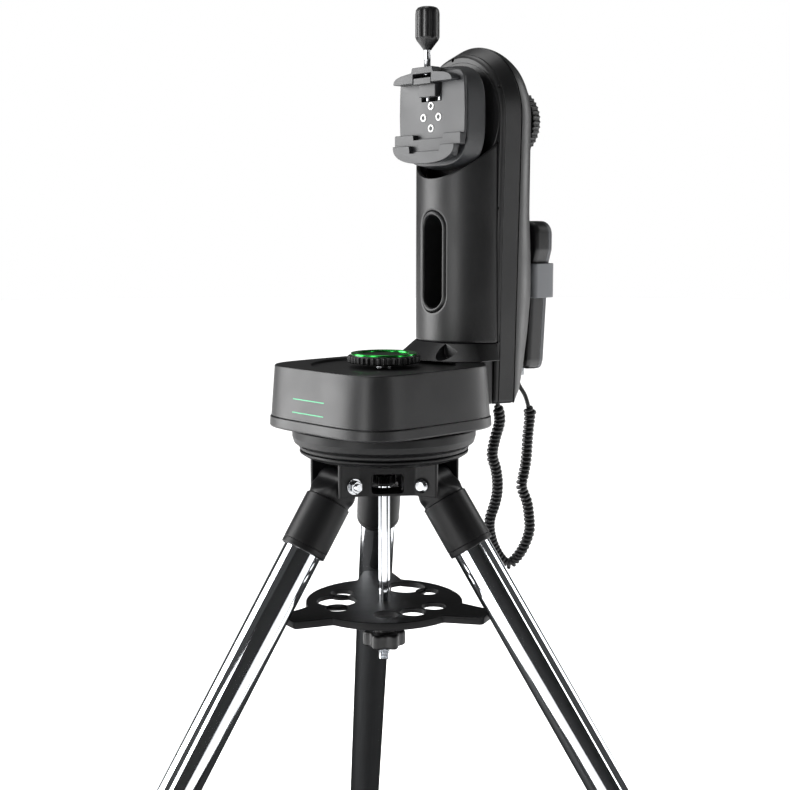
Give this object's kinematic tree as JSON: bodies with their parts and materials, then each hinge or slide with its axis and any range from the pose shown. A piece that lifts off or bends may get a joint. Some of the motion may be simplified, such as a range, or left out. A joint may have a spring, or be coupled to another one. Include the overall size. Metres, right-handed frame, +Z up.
{
  "type": "single-arm motorised telescope mount on a tripod",
  "caption": "Single-arm alt-azimuth telescope mount with turning base, dovetail saddle, clamp knob, hand controller on a curled cord, and a folding steel tripod with accessory tray.",
  "frame": {"origin": "on the floor under the middle of the bounding box", "axes": "+Z up; one leg points along +Y, the other two at 30 degrees below -X and +X; the arm stands 38 degrees round from +X towards +Y"},
  "size_m": [0.8062, 0.7034, 0.9935],
  "materials": {
    "cast_black": "satin powder coat",
    "shell_black": "fine-textured moulding",
    "saddle_black": "satin paint on cast aluminium",
    "chrome_tube": "polished chrome plate",
    "steel": "turned steel",
    "brass": "machined",
    "knob_black": "moulded",
    "green_ring": "green anodised",
    "rubber_black": "matte",
    "bracket_grey": "moulded",
    "keypad_rubber": "matte",
    "screen": "gloss window",
    "plug_clear": "clear",
    "board_green": "solder mask",
    "boot_rubber": "matte"
  },
  "bodies": {
    "tripod": {"tripod_hub": "cast_black", "centre_rod": "steel", "leg_1_bolt": "steel", "leg_2_bolt": "steel", "leg_3_bolt": "steel", "azimuth_bowl": "cast_black", "azimuth_shaft": "steel"},
    "tray": {"spreader_tray": "knob_black"},
    "tray_knob": {"tray_knob": "knob_black"},
    "mount_nut": {"mount_nut": "steel"},
    "azimuth_clutch": {"azimuth_clutch_knob": "knob_black", "azimuth_clutch_ring": "green_ring"},
    "head": {"base_housing": "shell_black", "base_cover": "shell_black", "azimuth_gear": "brass", "azimuth_drive": "steel", "port_panel": "knob_black", "arm_foot": "shell_black", "arm_front_panel": "shell_black", "handle_liner": "shell_black", "arm_frame": "shell_black", "arm_back_shell": "shell_black", "altitude_gear": "brass", "altitude_drive": "steel", "control_board": "board_green", "handset_bracket": "bracket_grey", "handset_cord": "rubber_black"},
    "power_switch": {"power_switch": "rubber_black"},
    "saddle": {"altitude_shaft": "steel", "saddle_drum": "saddle_black", "saddle_plate": "saddle_black", "saddle_lower_jaw": "saddle_black", "saddle_upper_jaw": "saddle_black"},
    "altitude_clutch": {"altitude_clutch_knob": "knob_black"},
    "clamp_jaw": {"sliding_jaw": "saddle_black"},
    "clamp_screw": {"clamp_screw": "steel", "clamp_handle": "rubber_black"},
    "handset": {"handset_body": "knob_black", "handset_display": "screen", "handset_plug": "plug_clear"},
    "arrow_keys": {"handset_arrow_keys": "keypad_rubber"},
    "number_keys": {"handset_number_keys": "keypad_rubber"},
    "leg_1": {"leg_1_bracket": "cast_black", "leg_1_upper_tube": "chrome_tube", "leg_1_collar": "knob_black"},
    "leg_1_lower": {"leg_1_lower_tube": "chrome_tube", "leg_1_foot": "boot_rubber"},
    "leg_1_clamp": {"leg_1_clamp_knob": "knob_black"},
    "leg_2": {"leg_2_bracket": "cast_black", "leg_2_upper_tube": "chrome_tube", "leg_2_collar": "knob_black"},
    "leg_2_lower": {"leg_2_lower_tube": "chrome_tube", "leg_2_foot": "boot_rubber"},
    "leg_2_clamp": {"leg_2_clamp_knob": "knob_black"},
    "leg_3": {"leg_3_bracket": "cast_black", "leg_3_upper_tube": "chrome_tube", "leg_3_collar": "knob_black"},
    "leg_3_lower": {"leg_3_lower_tube": "chrome_tube", "leg_3_foot": "boot_rubber"},
    "leg_3_clamp": {"leg_3_clamp_knob": "knob_black"}
  },
  "joints": [
    {"name": "azimuth_turn", "type": "hinge", "parent": "tripod", "child": "head", "pos_m": [0, -0.1115, 0.652], "axis": [0, 0, 1], "continuous": true},
    {"name": "altitude_turn", "type": "hinge", "parent": "head", "child": "saddle", "pos_m": [0.04176, -0.07887, 0.905], "axis": [-0.788, -0.6157, 0], "range_deg": [-130, 130]},
    {"name": "azimuth_clutch_turn", "type": "hinge", "parent": "tripod", "child": "azimuth_clutch", "pos_m": [0, -0.1115, 0.707], "axis": [0, 0, 1], "range_deg": [0, 180]},
    {"name": "altitude_clutch_turn", "type": "hinge", "parent": "saddle", "child": "altitude_clutch", "pos_m": [0.1182, -0.01915, 0.905], "axis": [0.788, 0.6157, 0], "range_deg": [0, 180]},
    {"name": "jaw_slide", "type": "slide", "parent": "saddle", "child": "clamp_jaw", "axis": [0, 0, 1], "range_m": [0, 0.003]},
    {"name": "clamp_screw_turn", "type": "hinge", "parent": "clamp_jaw", "child": "clamp_screw", "pos_m": [0.03822, -0.08164, 0.96], "axis": [0, 0, 1], "range_deg": [0, 725]},
    {"name": "mount_nut_turn", "type": "hinge", "parent": "tripod", "child": "mount_nut", "pos_m": [0, -0.1115, 0.607], "axis": [0, 0, -1], "range_deg": [0, 720]},
    {"name": "tray_slide", "type": "slide", "parent": "tripod", "child": "tray", "axis": [0, 0, -1], "range_m": [0, 0.56]},
    {"name": "tray_knob_turn", "type": "hinge", "parent": "tray", "child": "tray_knob", "pos_m": [0, -0.1115, 0.47], "axis": [0, 0, -1], "range_deg": [0, 720]},
    {"name": "leg_1_fold", "type": "hinge", "parent": "tripod", "child": "leg_1", "pos_m": [0, -0.0665, 0.609], "axis": [-1, 0, 0], "range_deg": [0, 26]},
    {"name": "leg_1_extend", "type": "slide", "parent": "leg_1", "child": "leg_1_lower", "axis": [0, 0.5446, -0.8387], "range_m": [0, 0.2]},
    {"name": "leg_1_clamp_turn", "type": "hinge", "parent": "leg_1", "child": "leg_1_clamp", "pos_m": [0, 0.24394, 0.13096], "axis": [0, 0.8387, 0.5446], "range_deg": [0, 360]},
    {"name": "leg_2_fold", "type": "hinge", "parent": "tripod", "child": "leg_2", "pos_m": [-0.03897, -0.134, 0.609], "axis": [0.5, -0.866, 0], "range_deg": [0, 26]},
    {"name": "leg_2_extend", "type": "slide", "parent": "leg_2", "child": "leg_2_lower", "axis": [-0.4717, -0.2723, -0.8387], "range_m": [0, 0.2]},
    {"name": "leg_2_clamp_turn", "type": "hinge", "parent": "leg_2", "child": "leg_2_clamp", "pos_m": [-0.30782, -0.28922, 0.13096], "axis": [-0.7263, -0.4193, 0.5446], "range_deg": [0, 360]},
    {"name": "leg_3_fold", "type": "hinge", "parent": "tripod", "child": "leg_3", "pos_m": [0.03897, -0.134, 0.609], "axis": [0.5, 0.866, 0], "range_deg": [0, 26]},
    {"name": "leg_3_extend", "type": "slide", "parent": "leg_3", "child": "leg_3_lower", "axis": [0.4717, -0.2723, -0.8387], "range_m": [0, 0.2]},
    {"name": "leg_3_clamp_turn", "type": "hinge", "parent": "leg_3", "child": "leg_3_clamp", "pos_m": [0.30782, -0.28922, 0.13096], "axis": [0.7263, -0.4193, 0.5446], "range_deg": [0, 360]},
    {"name": "handset_lift", "type": "slide", "parent": "head", "child": "handset", "axis": [0, 0, 1], "range_m": [0, 0.05]},
    {"name": "arrow_keys_press", "type": "slide", "parent": "handset", "child": "arrow_keys", "axis": [-0.788, -0.6157, 0], "range_m": [0, 0.001], "stiffness_N_per_m": 1500},
    {"name": "number_keys_press", "type": "slide", "parent": "handset", "child": "number_keys", "axis": [-0.788, -0.6157, 0], "range_m": [0, 0.001], "stiffness_N_per_m": 1500},
    {"name": "power_switch_rock", "type": "hinge", "parent": "head", "child": "power_switch", "pos_m": [-0.03556, -0.05299, 0.681], "axis": [0, 0, 1], "range_deg": [0, 10]}
  ],
  "couplings": [
    {"joint": "leg_2_fold", "follows": "leg_1_fold", "ratio": 1},
    {"joint": "leg_3_fold", "follows": "leg_1_fold", "ratio": 1},
    {"joint": "tray_slide", "follows": "leg_1_fold", "m_per_rad": 1.234},
    {"joint": "clamp_screw_turn", "follows": "jaw_slide", "rad_per_m": 4188.8}
  ]
}
